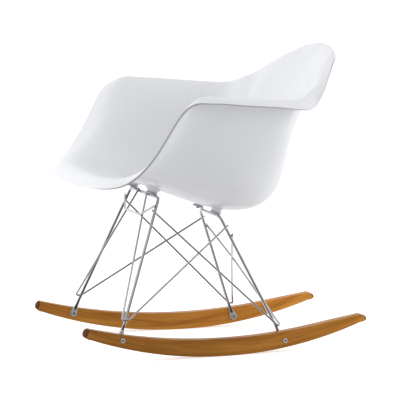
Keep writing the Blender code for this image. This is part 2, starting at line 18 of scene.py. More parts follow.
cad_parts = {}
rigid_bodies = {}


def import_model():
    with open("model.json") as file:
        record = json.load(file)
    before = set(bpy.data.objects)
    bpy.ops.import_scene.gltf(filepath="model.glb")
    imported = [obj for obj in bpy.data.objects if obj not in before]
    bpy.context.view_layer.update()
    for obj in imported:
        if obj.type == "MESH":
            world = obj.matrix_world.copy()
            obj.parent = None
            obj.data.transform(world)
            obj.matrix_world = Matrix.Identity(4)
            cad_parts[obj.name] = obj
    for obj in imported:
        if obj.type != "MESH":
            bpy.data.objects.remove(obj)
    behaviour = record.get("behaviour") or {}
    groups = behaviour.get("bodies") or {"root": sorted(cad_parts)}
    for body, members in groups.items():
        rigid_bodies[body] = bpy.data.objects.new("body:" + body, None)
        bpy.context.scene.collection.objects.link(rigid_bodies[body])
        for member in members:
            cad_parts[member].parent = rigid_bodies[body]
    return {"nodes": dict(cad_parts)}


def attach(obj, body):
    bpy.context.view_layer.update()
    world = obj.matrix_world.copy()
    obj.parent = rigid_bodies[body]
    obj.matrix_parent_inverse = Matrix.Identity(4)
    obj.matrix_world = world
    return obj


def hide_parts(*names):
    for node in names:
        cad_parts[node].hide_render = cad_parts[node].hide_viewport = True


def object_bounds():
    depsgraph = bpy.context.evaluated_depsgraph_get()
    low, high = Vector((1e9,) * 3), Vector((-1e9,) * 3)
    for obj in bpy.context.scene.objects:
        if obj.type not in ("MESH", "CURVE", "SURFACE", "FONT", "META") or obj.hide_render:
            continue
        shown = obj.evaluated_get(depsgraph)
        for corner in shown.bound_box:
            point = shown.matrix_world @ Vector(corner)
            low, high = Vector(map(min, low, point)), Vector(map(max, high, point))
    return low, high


for leftover in list(bpy.data.objects):
    bpy.data.objects.remove(leftover)
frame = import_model()
CAD_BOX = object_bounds()

# --------------------------------------------------------------- dimensions
# As in the CAD, except that the key recesses are 0.4 mm wider here, the boards'
# edges are rounded by 0.2 mm more and the shell is one level finer.
FIT_GAP = 0.0003            # between pieces that touch

ROCKER_THICKNESS = 0.022
ROCKER_SPACING = 0.1834     # middle of the chair to where a board touches down
ROCKER_TOE_IN = math.radians(2.98)
ROCKER_CONTACT_Y = 0.002
ROCKER_FRONT = 0.3411
ROCKER_REAR = 0.3411
ROCKER_BOTTOM_RADIUS = 0.970
ROCKER_TOP_RADIUS = 1.330
ROCKER_DEPTH = 0.0395
ROCKER_TAPER_START = 0.205
ROCKER_TAPER = 0.42
ROCKER_FLAT = 0.015
ROCKER_EDGE = 0.0022
FRONT_NOSE = 0.012          # length of a board's rounded front end
REAR_NOSE = 0.014
FRONT_NOSE_LEVEL = 0.45     # height share at which the front end reaches furthest
REAR_NOSE_LEVEL = 0.38

LEG_ROD = 0.0070
BRACE_ROD = 0.0046
FRONT_BAR = Vector((0.1042, -0.1336, 0.353))
REAR_BAR = Vector((0.071, 0.0239, 0.300))
FRONT_BEND = 0.012          # bend radius of the rod's centre line
REAR_BEND = 0.018
FRONT_BOLT = (-0.2535, 0.0510)
REAR_BOLT = (0.1387, 0.0255)
FRONT_HOOK_HEIGHT = 0.0930
FRONT_HOOK = ((0.0068, -0.0110), (0.0078, 0.0045))
REAR_HOOK_HEIGHT = 0.0580
REAR_HOOK = ((0.0066, 0.0028), (0.0005, 0.0106))
HOOK_BEND = 0.0045
SIDE_DIAGONAL_HEIGHT = 0.2755
REAR_BRACE_START_HEIGHT = 0.324
CROSS_BRACE_HEIGHT = 0.2555
BRACE_NUB = 0.002
BRACE_OFFSET = (LEG_ROD + BRACE_ROD) / 2 + FIT_GAP
TIE_HEIGHT = 0.333
TIE_KNEE = Vector((0.058, -0.1635, 0.311))
TIE_BEND = 0.006
BAR_START = 0.0325
CROSS_BOW = 0.0047
CROSS_APART = 0.0052

EYE_RADIUS = 0.0080
EYE_THICKNESS = 0.0035
EYE_HOLE = 0.0058
EYE_NECK = 0.014            # eye centre to where the flat is as narrow as the rod
EYE_EDGE = 0.0007
LEG_BEND = 0.034
NECK_WIDTH = 0.45           # half width of an eye's neck, as a share of LEG_ROD
NECK_THICKNESS = 0.96       # of the flattened rod, as a share of EYE_THICKNESS
NECK_SPREAD = 0.15          # share by which flattening widens the rod
WELD_BEAD = (0.0021, 0.0034, 0.0013)    # across the wire, along it, off the leg

BOLT_SHANK = 0.0050
BOLT_HEAD = 0.0100
BOLT_HEAD_HEIGHT = 0.0030
BOLT_REACH = 0.0120         # shank inside the rocker
ROCKER_HOLE = 0.0082
SLEEVE_BARREL = 0.0074
SLEEVE_LENGTH = 0.0160
SLEEVE_FLANGE = 0.0110
SLEEVE_FLANGE_HEIGHT = 0.0012
SLEEVE_ROOF = 0.005         # flange face to the end of the bore
WASHER_DIAMETER = 0.0120
WASHER_THICKNESS = 0.0010
HEX_KEY = 0.0044            # across corners of the key recess
HEX_DEPTH = 0.0016
HEAD_RIM = 0.55             # height share of a screw head's straight rim
HEAD_CROWN = 0.95           # height share that its middle reaches
SHANK_CHAMFER = 0.3         # share of a shank's radius
FASTENER_EDGE = 0.0002

MOUNT_TILT = math.atan2(FRONT_BAR.z - REAR_BAR.z, REAR_BAR.y - FRONT_BAR.y)
# Spread is from the middle of the chair, ahead is from the bar, and root is
# the radius of the boss where it runs into the shell.
Mount = namedtuple("Mount", "spread ahead boss_root boss_height")
FRONT_MOUNT = Mount(0.073, 0.0085, 0.0250, 0.0110)
REAR_MOUNT = Mount(0.062, 0.0100, 0.0140, 0.0102)
PLATE_DIAMETER = 0.028
PLATE_THICKNESS = 0.0025
PLATE_HOLE = 0.0060
PLATE_EDGE = 0.0005
PAD_DIAMETER = 0.024
PAD_THICKNESS = 0.0020
PAD_EDGE = 0.0006
SCREW_SHANK = 0.0050
SCREW_HEAD = 0.0088
SCREW_HEAD_HEIGHT = 0.0030
SCREW_REACH = 0.0080        # shank inside the boss
BOSS_FOOT = 0.0115          # radius of a boss where it meets its pad
BOSS_FLARE = 1.3            # powers of its radius and height, which would
BOSS_RISE = 0.9             # give a cone if they were the same
BOSS_BORE = 0.0086
BOSS_BORE_DEPTH = 0.0095

SHELL_WALL = 0.0045
SHELL_LEVELS = 3
SHELL_EDGE = 0.0014         # rounding of the shell's rim
SMOOTH_SIDES = 48           # round a turned piece
ROD_SIDES = 20              # round a rod
SAME_PLACE = 1e-6           # points closer than this are one point
MIDDLE_GAP = 1e-5           # the same, where the halves of the shell meet

# Inner face of the shell, sitter's left half, as rows from the front edge to
# the top edge. Each row runs from the middle of the chair to the outer edge:
# middle, seat, side of the seat, foot of the wall, wall, crest, outer edge.
# A fitting program worked the points out; two at the front corner of the arm
# were then set one by one.
SHELL_ROWS = (
    ((0.000, -0.312, 0.382), (0.099, -0.307, 0.384), (0.196, -0.295, 0.391),
     (0.266, -0.254, 0.411), (0.293, -0.197, 0.477), (0.308, -0.149, 0.558),
     (0.314, -0.112, 0.584)),
    ((0.000, -0.290, 0.407), (0.100, -0.287, 0.408), (0.184, -0.272, 0.411),
     (0.240, -0.238, 0.423), (0.272, -0.177, 0.483), (0.290, -0.112, 0.584),
     (0.312, -0.084, 0.583)),
    ((0.000, -0.212, 0.399), (0.099, -0.207, 0.399), (0.181, -0.196, 0.406),
     (0.233, -0.164, 0.442), (0.267, -0.117, 0.528), (0.287, -0.068, 0.592),
     (0.310, -0.048, 0.581)),
    ((0.000, -0.107, 0.364), (0.100, -0.103, 0.368), (0.178, -0.091, 0.388),
     (0.228, -0.065, 0.439), (0.257, -0.030, 0.534), (0.280, -0.001, 0.589),
     (0.306, 0.008, 0.575)),
    ((0.000, -0.003, 0.326), (0.100, 0.003, 0.334), (0.172, 0.010, 0.363),
     (0.218, 0.030, 0.426), (0.244, 0.055, 0.535), (0.267, 0.085, 0.583),
     (0.290, 0.083, 0.568)),
    ((0.000, 0.090, 0.313), (0.095, 0.092, 0.326), (0.157, 0.090, 0.362),
     (0.199, 0.105, 0.437), (0.223, 0.125, 0.531), (0.246, 0.152, 0.581),
     (0.269, 0.150, 0.559)),
    ((0.000, 0.165, 0.355), (0.084, 0.153, 0.366), (0.139, 0.141, 0.404),
     (0.174, 0.144, 0.468), (0.196, 0.157, 0.542), (0.222, 0.181, 0.593),
     (0.247, 0.190, 0.563)),
    ((0.000, 0.188, 0.433), (0.075, 0.180, 0.444), (0.125, 0.169, 0.478),
     (0.154, 0.172, 0.522), (0.176, 0.186, 0.566), (0.199, 0.206, 0.605),
     (0.228, 0.215, 0.596)),
    ((0.000, 0.205, 0.512), (0.067, 0.202, 0.522), (0.111, 0.197, 0.546),
     (0.138, 0.202, 0.581), (0.154, 0.214, 0.608), (0.169, 0.232, 0.628),
     (0.189, 0.243, 0.629)),
    ((0.000, 0.237, 0.601), (0.052, 0.236, 0.605), (0.086, 0.238, 0.618),
     (0.105, 0.245, 0.635), (0.119, 0.254, 0.648), (0.131, 0.264, 0.655),
     (0.145, 0.271, 0.656)),
    ((0.000, 0.303, 0.686), (0.033, 0.299, 0.685), (0.057, 0.298, 0.682),
     (0.076, 0.295, 0.678), (0.089, 0.292, 0.676), (0.102, 0.290, 0.672),
     (0.115, 0.288, 0.667)),
)

# -------------------------------------------------------------------- camera
# Found by least squares from the photograph.
LENS = 243.2                # millimetres, like SENSOR_WIDTH
SENSOR_WIDTH = 36.0
CAMERA_AZIMUTH = math.radians(71.256)
CAMERA_ELEVATION = math.radians(7.188)
CAMERA_DISTANCE = 6.229
CAMERA_TARGET = Vector((0.0, 0.0001, 0.3307))

# --------------------------------------------------------------------- looks
BOARD_FADE = (-0.10, 0.30)  # along a board, where it grows lighter
BOARD_FADE_GAIN = 1.45
CUT_END = (0.3455, 0.3475)  # along the curve, where a board's end grain sets in
CUT_END_COVER = 0.88

# Softboxes: place, target, width and height, watts.
SOFTBOXES = {
    "overhead": ((0.2, 0.0, 2.6), (0.0, 0.0, 0.4), (2.2, 2.2), 5.0),
    "front": ((-0.1, -2.5, 1.3), (0.0, 0.0, 0.4), (1.6, 2.0), 28.5),
    "rear": ((1.5, 2.2, 1.1), (0.0, 0.1, 0.4), (1.4, 2.0), 27.0),
}
# The world's light is a sum of three fades, each from the negative end of its
# axis to the positive one.
WORLD_FADES = {"Z": (0.81, 0.64), "Y": (0.04, 0.06), "X": (0.09, -0.19)}
REFLECTION_GAIN = 0.35      # share by which reflections see more of it
# Reflections also hold a dark zone, low on the sitter's left.
DARK_LEFT = (0.10, 0.65)    # fades in over this much of X
DARK_TOP = (0.25, 0.55)     # fades out over this much of Z
DARK_DEPTH = 0.92
FLOOR_RADIUS = 40.0
FLOOR_STRENGTH = 0.5


# ------------------------------------------------------------ material nodes
def node(tree, kind, inputs=None, **settings):
    """A shader node with its settings, and its inputs set or linked by name."""
    made = tree.nodes.new("ShaderNode" + kind)
    for key, value in settings.items():
        setattr(made, key, value)
    for key, value in (inputs or {}).items():
        if isinstance(value, bpy.types.NodeSocket):
            tree.links.new(value, made.inputs[key])
        else:
            made.inputs[key].default_value = value
    return made


def new_material(name, metallic=0.0):
    material = bpy.data.materials.new(name)
    material.use_nodes = True
    shader = material.node_tree.nodes["Principled BSDF"]
    shader.inputs["Metallic"].default_value = metallic
    return material, material.node_tree, shader


def object_place(tree):
    return node(tree, "TexCoord").outputs["Object"]


def noise(tree, place, scale, detail=2.0, roughness=0.5, distortion=0.0):
    made = node(tree, "TexNoise", {
        "Vector": place, "Scale": scale, "Detail": detail, "Roughness": roughness,
        "Distortion": distortion})
    return made.outputs["Fac"]


def ramp(tree, factor, stops):
    made = node(tree, "ValToRGB", {"Fac": factor})
    elements = made.color_ramp.elements
    while len(elements) < len(stops):
        elements.new(0.5)
    for element, (position, color) in zip(elements, stops):
        element.position = position
        element.color = (*color, 1.0)
    return made.outputs["Color"]


def remap(tree, value, low, high, to_low, to_high):
    made = node(tree, "MapRange", {
        "Value": value, "From Min": low, "From Max": high, "To Min": to_low, "To Max": to_high})
    return made.outputs["Result"]


def math_node(tree, operation, first, second=0.0):
    made = node(tree, "Math", operation=operation)
    for socket, value in zip(made.inputs, (first, second)):
        if isinstance(value, bpy.types.NodeSocket):
            tree.links.new(value, socket)
        else:
            socket.default_value = value
    return made.outputs[0]


def mix_color(tree, factor, first, second, blend="MIX"):
    made = node(tree, "Mix", data_type="RGBA", blend_type=blend)
    for key, value in (("Factor_Float", factor), ("A_Color", first), ("B_Color", second)):
        socket = next(s for s in made.inputs if s.identifier == key)
        if isinstance(value, bpy.types.NodeSocket):
            tree.links.new(value, socket)
        else:
            socket.default_value = value
    return next(s for s in made.outputs if s.identifier == "Result_Color")


def bump(tree, height, strength, distance, under=None):
    inputs = {"Height": height, "Strength": strength, "Distance": distance}
    if under is not None:
        inputs["Normal"] = under
    return node(tree, "Bump", inputs).outputs["Normal"]


def connect(tree, shader, **sockets):
    names = {"color": "Base Color", "roughness": "Roughness", "normal": "Normal"}
    for key, value in sockets.items():
        tree.links.new(value, shader.inputs[names[key]])


# ----------------------------------------------------------------- materials
def white_plastic():
    """Satin moulded polypropylene: faint flow marks and a fine skin."""
    material, tree, shader = new_material("white_plastic")
    place = object_place(tree)
    flow = noise(tree, place, scale=3.0)
    color = ramp(tree, flow, ((0.15, (0.812, 0.812, 0.836)), (0.85, (0.840, 0.840, 0.864))))
    specks = noise(tree, place, scale=500.0)
    fleck = ramp(tree, specks, ((0.10, (0.985, 0.985, 0.985)), (0.90, (1.0, 1.0, 1.0))))
    color = mix_color(tree, 1.0, color, fleck, "MULTIPLY")
    handling = noise(tree, place, scale=14.0)
    skin = bump(tree, noise(tree, place, scale=900.0), strength=0.03, distance=0.0001)
    connect(tree, shader, color=color, normal=skin,
            roughness=remap(tree, handling, 0.1, 0.9, 0.26, 0.33))
    shader.inputs["Specular IOR Level"].default_value = 0.5
    shader.inputs["Coat Weight"].default_value = 0.12
    shader.inputs["Coat Roughness"].default_value = 0.12
    return material


def rim_painted_shade():
    """The shell's trimmed edge: the same plastic, scraped matt, and painted greyer as shade under
    the rim.
    """
    material, tree, shader = new_material("rim_painted_shade")
    rim_mottle = noise(tree, object_place(tree), scale=350.0, detail=3.0, roughness=0.6)
    # Painted shade: the grey colour stands for the shade line under the rolled rim.
    connect(
        tree, shader, roughness=remap(tree, rim_mottle, 0.3, 0.7, 0.45, 0.62),
        color=ramp(tree, rim_mottle, ((0.30, (0.400, 0.400, 0.410)), (0.70, (0.480, 0.480, 0.492)))),
        normal=bump(tree, rim_mottle, strength=0.10, distance=0.0002))
    return material


def board_place(tree):
    """Place in a rocker: along its curve, up from its lower edge, and across."""
    local = node(tree, "SeparateXYZ", {"Vector": object_place(tree)}).outputs
    drop = math_node(tree, "SUBTRACT", ROCKER_BOTTOM_RADIUS, local["Y"])
    angle = math_node(tree, "ARCTAN2", local["X"], drop)
    squares = math_node(
        tree, "ADD", math_node(tree, "MULTIPLY", local["X"], local["X"]),
        math_node(tree, "MULTIPLY", drop, drop))
    depth = math_node(tree, "SUBTRACT", ROCKER_BOTTOM_RADIUS, math_node(tree, "SQRT", squares))
    return math_node(tree, "MULTIPLY", angle, ROCKER_BOTTOM_RADIUS), depth, local["Z"]


def stretched(tree, place, scales):
    """The place drawn out along the board, where its scale is smallest."""
    scaled = [math_node(tree, "MULTIPLY", value, scale) for value, scale in zip(place, scales)]
    return node(tree, "CombineXYZ", dict(zip("XYZ", scaled))).outputs[0]


def honey_wood(name, tone):
    """Clear-finished hardwood, grained along the board's curve, open at its ends.

    The tone sets how light the board is; every board is lighter to the rear.
    """
    material, tree, shader = new_material(name)
    place = board_place(tree)
    figure = noise(tree, stretched(tree, place, (5.0, 70.0, 45.0)), scale=1.0,
                   detail=4.0, roughness=0.55, distortion=0.5)
    color = ramp(tree, figure, (
        (0.28, (0.290, 0.100, 0.014)), (0.45, (0.395, 0.150, 0.021)),
        (0.58, (0.460, 0.185, 0.028)), (0.74, (0.560, 0.245, 0.044))))
    lines = noise(tree, stretched(tree, place, (9.0, 620.0, 420.0)), scale=1.0,
                  detail=3.0, roughness=0.6)
    color = mix_color(tree, 0.55, color, ramp(
        tree, lines, ((0.32, (0.66, 0.60, 0.52)), (0.55, (1.0, 1.0, 1.0)))), "MULTIPLY")
    pores = noise(tree, stretched(tree, place, (60.0, 2400.0, 2400.0)), scale=1.0)
    color = mix_color(tree, 0.5, color, ramp(
        tree, pores, ((0.28, (0.35, 0.30, 0.26)), (0.40, (1.0, 1.0, 1.0)))), "MULTIPLY")
    lightness = remap(tree, place[0], *BOARD_FADE, tone, tone * BOARD_FADE_GAIN)
    lightness = node(tree, "CombineXYZ", {axis: lightness for axis in "XYZ"})
    color = mix_color(tree, 1.0, color, lightness.outputs[0], "MULTIPLY")
    reach = math_node(tree, "ABSOLUTE", place[0])
    end_grain = remap(tree, reach, *CUT_END, 0.0, CUT_END_COVER)
    color = mix_color(tree, end_grain, color, (0.060, 0.026, 0.010, 1.0))
    grain = bump(tree, lines, strength=0.16, distance=0.0003)
    grain = bump(tree, pores, strength=0.20, distance=0.0002, under=grain)
    sheen = remap(tree, lines, 0.3, 0.7, 0.46, 0.34)
    matt = math_node(tree, "MULTIPLY", end_grain, 0.55)
    connect(tree, shader, color=color, normal=grain,
            roughness=math_node(tree, "ADD", sheen, matt))
    shader.inputs["Specular IOR Level"].default_value = 0.30
    shader.inputs["Specular Tint"].default_value = (1.0, 0.88, 0.66, 1.0)
    return material


def metal(name, dark, light, roughness, grain_scale, metallic=1.0):
    """Metal with slight clouding and fine handling marks.

    A metallic share below 1 stands for a dull or oiled surface.
    """
    material, tree, shader = new_material(name, metallic)
    place = object_place(tree)
    clouds = noise(tree, place, scale=60.0, detail=3.0, roughness=0.6)
    fine = noise(tree, place, grain_scale, roughness=0.6)
    connect(
        tree, shader, color=ramp(tree, clouds, ((0.30, dark), (0.70, light))),
        roughness=remap(tree, fine, 0.3, 0.7, roughness * 0.75, roughness * 1.35),
        normal=bump(tree, fine, strength=0.06, distance=0.0001))
    return material


def grey_rubber():
    """Pale matt rubber with a dusty bloom."""
    material, tree, shader = new_material("grey_rubber")
    place = object_place(tree)
    dust = noise(tree, place, scale=300.0, detail=4.0, roughness=0.7)
    connect(
        tree, shader,
        color=ramp(tree, dust, ((0.30, (0.620, 0.620, 0.625)), (0.75, (0.740, 0.740, 0.745)))),
        roughness=remap(tree, dust, 0.3, 0.7, 0.62, 0.82),
        normal=bump(tree, noise(tree, place, scale=2200.0), strength=0.25, distance=0.00015))
    return material


# ------------------------------------------------------------------- helpers
def add_mesh(name, mesh, matrix=None):
    obj = bpy.data.objects.new(name, mesh)
    bpy.context.scene.collection.objects.link(obj)
    if matrix is not None:
        obj.matrix_world = matrix
    bpy.context.view_layer.update()
    return obj


def coat(mesh, materials, index=0):
    """Gives a mesh its materials, and every face the one at index."""
    for material in materials:
        mesh.materials.append(material)
    for face in mesh.polygons:
        face.material_index = index


def finished_mesh(obj):
    """The object's mesh with its modifiers applied, and the object removed."""
    bpy.context.view_layer.update()
    graph = bpy.context.evaluated_depsgraph_get()
    mesh = bpy.data.meshes.new_from_object(obj.evaluated_get(graph))
    mesh.transform(obj.matrix_world)
    bpy.data.objects.remove(obj)
    return mesh


def boolean(obj, operand, operation):
    """Joins operand to obj or cuts it out, and removes operand."""
    modifier = obj.modifiers.new(operand.name, "BOOLEAN")
    modifier.object = operand
    modifier.operation = operation
    modifier.solver = "EXACT"
    result = finished_mesh(obj)
    bpy.data.objects.remove(operand)
    return result


def ease_edges(obj, width, segments=3, angle=math.radians(35)):
    bevel = obj.modifiers.new("eased edges", "BEVEL")
    bevel.width = width
    bevel.segments = segments
    bevel.limit_method = "ANGLE"
    bevel.angle_limit = angle
    weighted = obj.modifiers.new("even shading", "WEIGHTED_NORMAL")
    weighted.keep_sharp = True


def piece(name, obj, material, slot, *nodes):
    """Finishes a piece: its material, unless it has its own, body and CAD nodes; its slot is not
    used.
    """
    obj.name = name
    obj.data.name = name
    if material is not None:
        obj.data.materials.clear()
        obj.data.materials.append(material)
    obj.data.shade_smooth()
    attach(obj, "root")
    if nodes:
        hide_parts(*nodes)


def frame_at(point, axis, forward=Vector((0.0, 0.0, 1.0))):
    """Matrix that puts local Z along axis and local Y as near forward as it can."""
    z = axis.normalized()
    x = forward.cross(z).normalized()
    y = z.cross(x)
    matrix = Matrix((x, y, z)).transposed().to_4x4()
    matrix.translation = point
    return matrix


def turned_mesh(name, profile, sides=SMOOTH_SIDES):
    """Solid of revolution about Z from (radius, height) points.

    The profile starts and ends on the axis, or is a closed loop off it.
    """
    bm = bmesh.new()
    points = [bm.verts.new((radius, 0.0, height)) for radius, height in profile]
    edges = [bm.edges.new(pair) for pair in zip(points, points[1:])]
    if profile[0][0] > 0:
        edges.append(bm.edges.new((points[-1], points[0])))
    bmesh.ops.spin(bm, geom=points + edges, axis=(0, 0, 1), cent=(0, 0, 0),
                   angle=math.tau, steps=sides, use_duplicate=False)
    bmesh.ops.remove_doubles(bm, verts=bm.verts, dist=SAME_PLACE)
    bmesh.ops.recalc_face_normals(bm, faces=bm.faces)
    mesh = bpy.data.meshes.new(name)
    bm.to_mesh(mesh)
    bm.free()
    return mesh


def rounded_path(corners, radius, steps=8):
    """Polyline through corners, each inner corner turned on an arc.

    A corner that hardly turns gets a much wider arc.
    """
    path = [corners[0]]
    for before, corner, after in zip(corners, corners[1:], corners[2:]):
        toward = (before - corner).normalized()
        onward = (after - corner).normalized()
        turn = math.pi - toward.angle(onward)
        bend = radius if turn > math.radians(4) else 20 * radius
        reach = bend * math.tan(turn / 2)
        centre = corner + (toward + onward).normalized() * (bend / math.cos(turn / 2))
        start = corner + toward * reach - centre
        axis = start.cross(corner + onward * reach - centre)
        for step in range(steps + 1):
            path.append(centre + Matrix.Rotation(turn * step / steps, 3, axis) @ start)
    path.append(corners[-1])
    return path


def swept_mesh(name, path, radius, shape=None, sides=ROD_SIDES):
    """Round rod along a path, with domed ends.

    shape gives, for each point, the axis that the rod is flattened along, its
    thickness share on that axis and its width share across it.
    """
    count = len(path)
    tangents = []
    for i in range(count):
        ahead = path[min(i + 1, count - 1)]
        behind = path[max(i - 1, 0)]
        tangents.append((ahead - behind).normalized())
    normal = tangents[0].orthogonal().normalized()
    bm = bmesh.new()
    rings = []
    cap_steps = 3
    dome = radius * 0.5

    def add_ring(centre, tangent, size, squeeze):
        binormal = tangent.cross(normal).normalized()
        ring = []
        for k in range(sides):
            angle = math.tau * k / sides
            offset = (normal * math.cos(angle) + binormal * math.sin(angle)) * radius * size
            if squeeze is not None:
                axis, thin, wide = squeeze
                axis = (axis - tangent * axis.dot(tangent)).normalized()
                flat = tangent.cross(axis)
                offset = axis * offset.dot(axis) * thin + flat * offset.dot(flat) * wide
            ring.append(bm.verts.new(centre + offset))
        rings.append(ring)

    for i, (centre, tangent) in enumerate(zip(path, tangents)):
        normal = (normal - tangent * normal.dot(tangent)).normalized()
        squeeze = shape[i] if shape else None
        first = -cap_steps if i == 0 else 0
        last = cap_steps if i == count - 1 else 0
        for step in range(first, last + 1):
            lean = math.pi / 2 * step / (cap_steps + 0.5)
            add_ring(centre + tangent * dome * math.sin(lean), tangent, math.cos(lean), squeeze)
    for lower, upper in zip(rings, rings[1:]):
        for k in range(sides):
            following = (k + 1) % sides
            bm.faces.new((lower[k], lower[following], upper[following], upper[k]))
    bm.faces.new(rings[0][::-1])
    bm.faces.new(rings[-1])
    bmesh.ops.recalc_face_normals(bm, faces=bm.faces)
    mesh = bpy.data.meshes.new(name)
    bm.to_mesh(mesh)
    bm.free()
    return mesh


def plate_mesh(name, outlines, thickness):
    """Flat plate in local XY from an outline, with any further ones as holes."""
    curve = bpy.data.curves.new(name, "CURVE")
    curve.dimensions = "2D"
    curve.fill_mode = "BOTH"
    curve.extrude = thickness / 2
    for outline in outlines:
        spline = curve.splines.new("POLY")
        spline.points.add(len(outline) - 1)
        for point, (x, y) in zip(spline.points, outline):
            point.co = (x, y, 0.0, 1.0)
        spline.use_cyclic_u = True
    holder = bpy.data.objects.new(name, curve)
    bpy.context.scene.collection.objects.link(holder)
    mesh = finished_mesh(holder)
    bm = bmesh.new()
    bm.from_mesh(mesh)
    bmesh.ops.remove_doubles(bm, verts=bm.verts, dist=SAME_PLACE)
    bmesh.ops.recalc_face_normals(bm, faces=bm.faces)
    bm.to_mesh(mesh)
    bm.free()
    return mesh


def circle_outline(radius, centre=(0.0, 0.0), steps=SMOOTH_SIDES):
    angles = [math.tau * step / steps for step in range(steps)]
    return [(centre[0] + radius * math.cos(a), centre[1] + radius * math.sin(a)) for a in angles]


# ------------------------------------------------------------ places and axes
def rocker_frame(side):
    """Local X along the board to the rear, local Y up, local Z outward."""
    outward = Vector((side * math.cos(ROCKER_TOE_IN), math.sin(ROCKER_TOE_IN), 0.0))
    along = Vector((-side * math.sin(ROCKER_TOE_IN), math.cos(ROCKER_TOE_IN), 0.0))
    matrix = Matrix((along, Vector((0.0, 0.0, 1.0)), outward)).transposed().to_4x4()
    matrix.translation = Vector((side * ROCKER_SPACING, ROCKER_CONTACT_Y, 0.0))
    return matrix


def on_rocker(side, bolt, out):
    """Place on a bolt's axis, out from the middle of the board."""
    return rocker_frame(side) @ Vector((*bolt, out))


def mirrored(point, side):
    return Vector((side * point.x, point.y, point.z))


def rod_end(side, bolt):
    """Where the axis of a round rod would meet the bolt's axis."""
    return on_rocker(side, bolt, -(ROCKER_THICKNESS / 2 + FIT_GAP + LEG_ROD / 2))


def neck_direction(side, bar, bolt):
    """From a leg's eye toward its bar, in the plane of the board."""
    slant = mirrored(bar, side) - rod_end(side, bolt)
    outward = rocker_frame(side).col[2].to_3d()
    return (slant - outward * slant.dot(outward)).normalized()


def on_leg(side, bar, bolt, height):
    """Place on a leg's straight run at a height, and the direction of the run."""
    neck = rod_end(side, bolt) + neck_direction(side, bar, bolt) * LEG_BEND
    direction = (mirrored(bar, side) - neck).normalized()
    return neck + direction * ((height - neck.z) / direction.z), direction


def front_leg(side, height):
    return on_leg(side, FRONT_BAR, FRONT_BOLT, height)


def rear_leg(side, height):
    return on_leg(side, REAR_BAR, REAR_BOLT, height)


def mount_frame(side, bar, mount, lift):
    """Matrix on a mount's axis, a lift above the centre line of its bar."""
    up = Vector((0.0, math.sin(MOUNT_TILT), math.cos(MOUNT_TILT)))
    forward = Vector((0.0, -math.cos(MOUNT_TILT), math.sin(MOUNT_TILT)))
    base = Vector((side * mount.spread, bar.y, bar.z))
    return frame_at(base + forward * mount.ahead + up * lift, up)


MOUNTS = (
    ("front_left", 1, FRONT_BAR, FRONT_MOUNT),
    ("front_right", -1, FRONT_BAR, FRONT_MOUNT),
    ("rear_left", 1, REAR_BAR, REAR_MOUNT),
    ("rear_right", -1, REAR_BAR, REAR_MOUNT),
)
FEET = (
    ("front_left", 1, FRONT_BOLT),
    ("front_right", -1, FRONT_BOLT),
    ("rear_left", 1, REAR_BOLT),
    ("rear_right", -1, REAR_BOLT),
)
PLATE_BASE = LEG_ROD / 2 + FIT_GAP
PAD_BASE = PLATE_BASE + PLATE_THICKNESS + FIT_GAP
BOSS_BASE = PAD_BASE + PAD_THICKNESS + FIT_GAP


# ---------------------------------------------------------------- seat shell
def limit_of(grid):
    """Points of a subdivided surface above the vertices of its cage."""
    def smoothed(array, axis):
        return (np.roll(array, 1, axis) + 4 * array + np.roll(array, -1, axis)) / 6

    reflected = np.concatenate((grid[:, 1:2] * (-1, 1, 1), grid), axis=1)
    across_rows = smoothed(reflected, 1)[:, 1:]
    across_rows[:, -1] = grid[:, -1]
    both = smoothed(across_rows, 0)
    both[0] = across_rows[0]
    both[-1] = across_rows[-1]
    for row, inner in ((0, 1), (-1, -2)):
        both[row, -1] = (grid[inner, -1] + 4 * grid[row, -1] + grid[row, -2]) / 6
    return both


def cage_through(points, rounds=60):
    """Cage whose subdivided surface passes through the points."""
    cage = points.copy()
    for _ in range(rounds):
        cage += points - limit_of(cage)
    return cage


def shell_cage(name):
    cage = cage_through(np.array(SHELL_ROWS))
    row_count, column_count = cage.shape[:2]
    bm = bmesh.new()
    bmesh.ops.create_grid(bm, x_segments=column_count - 1, y_segments=row_count - 1, size=1.0)
    for vert in bm.verts:
        column = round((vert.co.x + 1) / 2 * (column_count - 1))
        row = round((vert.co.y + 1) / 2 * (row_count - 1))
        vert.co = cage[row, column]
    bmesh.ops.recalc_face_normals(bm, faces=bm.faces)
    mesh = bpy.data.meshes.new(name)
    bm.to_mesh(mesh)
    bm.free()
    return mesh


def boss_profile(root, height):
    """Boss below the shell, flaring into it."""
    steps = 14
    profile = [(0.0, height), (root, height)]
    for step in range(1, steps + 1):
        share = step / steps
        radius = BOSS_FOOT + (root - BOSS_FOOT) * (1 - share) ** BOSS_FLARE
        profile.append((radius, height * (1 - share) ** BOSS_RISE))
    profile.append((0.0, 0.0))
    return profile


def fit_inside(mesh, box):
    """Trims a hair off the mesh's scale where it would leave the box."""
    low, high = box
    places = np.empty(len(mesh.vertices) * 3)
    mesh.vertices.foreach_get("co", places)
    places = places.reshape(-1, 3)
    for axis in range(3):
        middle = (low[axis] + high[axis]) / 2
        reach = np.abs(places[:, axis] - middle).max()
        room = (high[axis] - low[axis]) / 2
        if reach > room:
            places[:, axis] = middle + (places[:, axis] - middle) * (room / reach)
    mesh.vertices.foreach_set("co", places.ravel())
    mesh.update()


